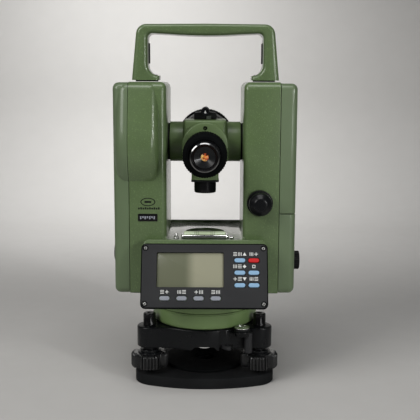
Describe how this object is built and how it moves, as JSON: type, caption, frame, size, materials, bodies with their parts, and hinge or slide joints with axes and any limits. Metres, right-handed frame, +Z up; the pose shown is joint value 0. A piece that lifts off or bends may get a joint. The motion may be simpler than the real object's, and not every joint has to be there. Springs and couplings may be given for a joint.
{
  "type": "theodolite",
  "caption": "Electronic theodolite: levelling base, turning U-frame with keypad displays, transiting telescope and carrying handle.",
  "frame": {"origin": "on the vertical axis, at the underside of the base plate", "axes": "+Z up along the vertical axis, -Y towards the keypad and the eyepiece, +X to the operator's right along the trunnion axis"},
  "size_m": [0.1706, 0.154, 0.3176],
  "materials": {
    "green_paint": "glossy fine texture enamel",
    "black_paint": "glossy",
    "black_plastic": "satin",
    "charcoal_panel": "satin",
    "bright_steel": "polished",
    "vial_glass": "clear",
    "circle_glass": "clear",
    "coated_lens": "coated",
    "lcd_glass": "clear",
    "circuit_board": "solder mask",
    "key_grey": "matt",
    "key_blue": "matt",
    "key_red": "matt"
  },
  "bodies": {
    "base": {"base_plate": "black_paint", "spring_plate": "black_paint", "tribrach_body": "black_paint", "circular_level": "bright_steel", "circular_level_vial": "vial_glass", "foot_cap_front_left": "black_plastic", "foot_cap_front_right": "black_plastic", "foot_cap_rear": "black_plastic", "base_drum": "green_paint", "horizontal_circle": "circle_glass"},
    "foot_screw_front_left": {"foot_screw_front_left": "black_plastic"},
    "foot_screw_front_right": {"foot_screw_front_right": "black_plastic"},
    "foot_screw_rear": {"foot_screw_rear": "black_plastic"},
    "lock_lever": {"tribrach_lock_lever": "bright_steel"},
    "alidade": {"alidade_frame": "green_paint", "left_cover": "green_paint", "right_cover": "green_paint", "data_port_cap": "black_plastic", "main_board": "circuit_board", "vertical_spindle": "bright_steel", "plate_level_housing": "black_paint", "plate_level_vial": "vial_glass", "handle": "green_paint", "front_housing": "green_paint", "front_panel": "charcoal_panel", "front_lcd": "lcd_glass", "rear_housing": "green_paint", "rear_panel": "charcoal_panel", "left_trunnion_bearing": "bright_steel", "right_trunnion_bearing": "bright_steel"},
    "battery": {"battery_pack": "green_paint"},
    "battery_lock": {"battery_lock_knob": "black_plastic"},
    "vertical_clamp": {"vertical_clamp_ring": "black_plastic"},
    "vertical_tangent": {"vertical_tangent_knob": "black_plastic"},
    "horizontal_clamp": {"horizontal_clamp_ring": "black_plastic"},
    "horizontal_tangent": {"horizontal_tangent_knob": "black_plastic"},
    "plummet_focus": {"plummet_eyepiece": "black_plastic"},
    "telescope": {"telescope_block": "green_paint", "left_trunnion_shaft": "green_paint", "right_trunnion_shaft": "green_paint", "vertical_circle": "circle_glass", "objective_tube": "green_paint", "objective_hood": "black_paint", "objective_lens": "circle_glass", "eyepiece_tube": "black_paint", "module_cap": "black_plastic", "sight": "black_plastic"},
    "focusing": {"focusing_ring": "black_plastic"},
    "eyepiece_cell": {"eyepiece_lens": "coated_lens"},
    "dioptre": {"eyepiece_ring": "black_plastic"},
    "display_key_1": {"display_key_1": "key_grey"},
    "display_key_2": {"display_key_2": "key_grey"},
    "display_key_3": {"display_key_3": "key_grey"},
    "display_key_4": {"display_key_4": "key_grey"},
    "key_upper_left": {"key_upper_left": "key_blue"},
    "key_power": {"key_power": "key_red"},
    "key_middle_left": {"key_middle_left": "key_blue"},
    "key_middle_right": {"key_middle_right": "key_blue"},
    "key_lower_left": {"key_lower_left": "key_blue"},
    "key_lower_right": {"key_lower_right": "key_blue"}
  },
  "joints": [
    {"name": "level_front_left", "type": "hinge", "parent": "base", "child": "foot_screw_front_left", "pos_m": [-0.04936, -0.0285, 0.02], "axis": [0, 0, 1], "range_deg": [-1080, 1080]},
    {"name": "level_front_right", "type": "hinge", "parent": "base", "child": "foot_screw_front_right", "pos_m": [0.04936, -0.0285, 0.02], "axis": [0, 0, 1], "range_deg": [-1080, 1080]},
    {"name": "level_rear", "type": "hinge", "parent": "base", "child": "foot_screw_rear", "pos_m": [0, 0.057, 0.02], "axis": [0, 0, 1], "range_deg": [-1080, 1080]},
    {"name": "lock_lever_swing", "type": "hinge", "parent": "base", "child": "lock_lever", "pos_m": [0.017, -0.041, 0.0357], "axis": [0, 0, 1], "range_deg": [-60, 0]},
    {"name": "alidade_turn", "type": "hinge", "parent": "base", "child": "alidade", "pos_m": [0, 0, 0.0668], "axis": [0, 0, 1], "continuous": true},
    {"name": "battery_slide", "type": "slide", "parent": "alidade", "child": "battery", "axis": [1, 0, 0], "range_m": [0, 0.03]},
    {"name": "battery_lock_turn", "type": "hinge", "parent": "battery", "child": "battery_lock", "pos_m": [0.0788, -0.012, 0.1082], "axis": [1, 0, 0], "range_deg": [0, 90]},
    {"name": "vertical_clamp_turn", "type": "hinge", "parent": "alidade", "child": "vertical_clamp", "pos_m": [0.0472, -0.0423, 0.165], "axis": [0, -1, 0], "range_deg": [-45, 45]},
    {"name": "vertical_tangent_turn", "type": "hinge", "parent": "alidade", "child": "vertical_tangent", "pos_m": [0.0472, -0.0423, 0.165], "axis": [0, -1, 0], "range_deg": [-1080, 1080]},
    {"name": "horizontal_clamp_turn", "type": "hinge", "parent": "alidade", "child": "horizontal_clamp", "pos_m": [0.028, 0.049, 0.075], "axis": [0, 1, 0], "range_deg": [-45, 45]},
    {"name": "horizontal_tangent_turn", "type": "hinge", "parent": "alidade", "child": "horizontal_tangent", "pos_m": [0.028, 0.049, 0.075], "axis": [0, 1, 0], "range_deg": [-1080, 1080]},
    {"name": "plummet_focus_turn", "type": "hinge", "parent": "alidade", "child": "plummet_focus", "pos_m": [0, 0.054, 0.0745], "axis": [0, 1, 0], "range_deg": [-120, 120]},
    {"name": "telescope_transit", "type": "hinge", "parent": "alidade", "child": "telescope", "pos_m": [0, 0, 0.2145], "axis": [1, 0, 0], "continuous": true},
    {"name": "focusing_turn", "type": "hinge", "parent": "telescope", "child": "focusing", "pos_m": [0, -0.059, 0.2065], "axis": [0, -1, 0], "range_deg": [-160, 160]},
    {"name": "eyepiece_travel", "type": "slide", "parent": "telescope", "child": "eyepiece_cell", "axis": [0, -1, 0], "range_m": [-0.002, 0.002]},
    {"name": "dioptre_turn", "type": "hinge", "parent": "eyepiece_cell", "child": "dioptre", "pos_m": [0, -0.075, 0.2065], "axis": [0, -1, 0], "range_deg": [-180, 180]},
    {"name": "display_key_1_press", "type": "slide", "parent": "alidade", "child": "display_key_1", "axis": [0, 0.9306, -0.3661], "range_m": [0, 0.0008], "stiffness_N_per_m": 500},
    {"name": "display_key_2_press", "type": "slide", "parent": "alidade", "child": "display_key_2", "axis": [0, 0.9306, -0.3661], "range_m": [0, 0.0008], "stiffness_N_per_m": 500},
    {"name": "display_key_3_press", "type": "slide", "parent": "alidade", "child": "display_key_3", "axis": [0, 0.9306, -0.3661], "range_m": [0, 0.0008], "stiffness_N_per_m": 500},
    {"name": "display_key_4_press", "type": "slide", "parent": "alidade", "child": "display_key_4", "axis": [0, 0.9306, -0.3661], "range_m": [0, 0.0008], "stiffness_N_per_m": 500},
    {"name": "key_upper_left_press", "type": "slide", "parent": "alidade", "child": "key_upper_left", "axis": [0, 0.9306, -0.3661], "range_m": [0, 0.0008], "stiffness_N_per_m": 500},
    {"name": "key_power_press", "type": "slide", "parent": "alidade", "child": "key_power", "axis": [0, 0.9306, -0.3661], "range_m": [0, 0.0008], "stiffness_N_per_m": 500},
    {"name": "key_middle_left_press", "type": "slide", "parent": "alidade", "child": "key_middle_left", "axis": [0, 0.9306, -0.3661], "range_m": [0, 0.0008], "stiffness_N_per_m": 500},
    {"name": "key_middle_right_press", "type": "slide", "parent": "alidade", "child": "key_middle_right", "axis": [0, 0.9306, -0.3661], "range_m": [0, 0.0008], "stiffness_N_per_m": 500},
    {"name": "key_lower_left_press", "type": "slide", "parent": "alidade", "child": "key_lower_left", "axis": [0, 0.9306, -0.3661], "range_m": [0, 0.0008], "stiffness_N_per_m": 500},
    {"name": "key_lower_right_press", "type": "slide", "parent": "alidade", "child": "key_lower_right", "axis": [0, 0.9306, -0.3661], "range_m": [0, 0.0008], "stiffness_N_per_m": 500}
  ],
  "couplings": [
    {"joint": "eyepiece_travel", "follows": "dioptre_turn", "m_per_rad": 0.000636}
  ]
}
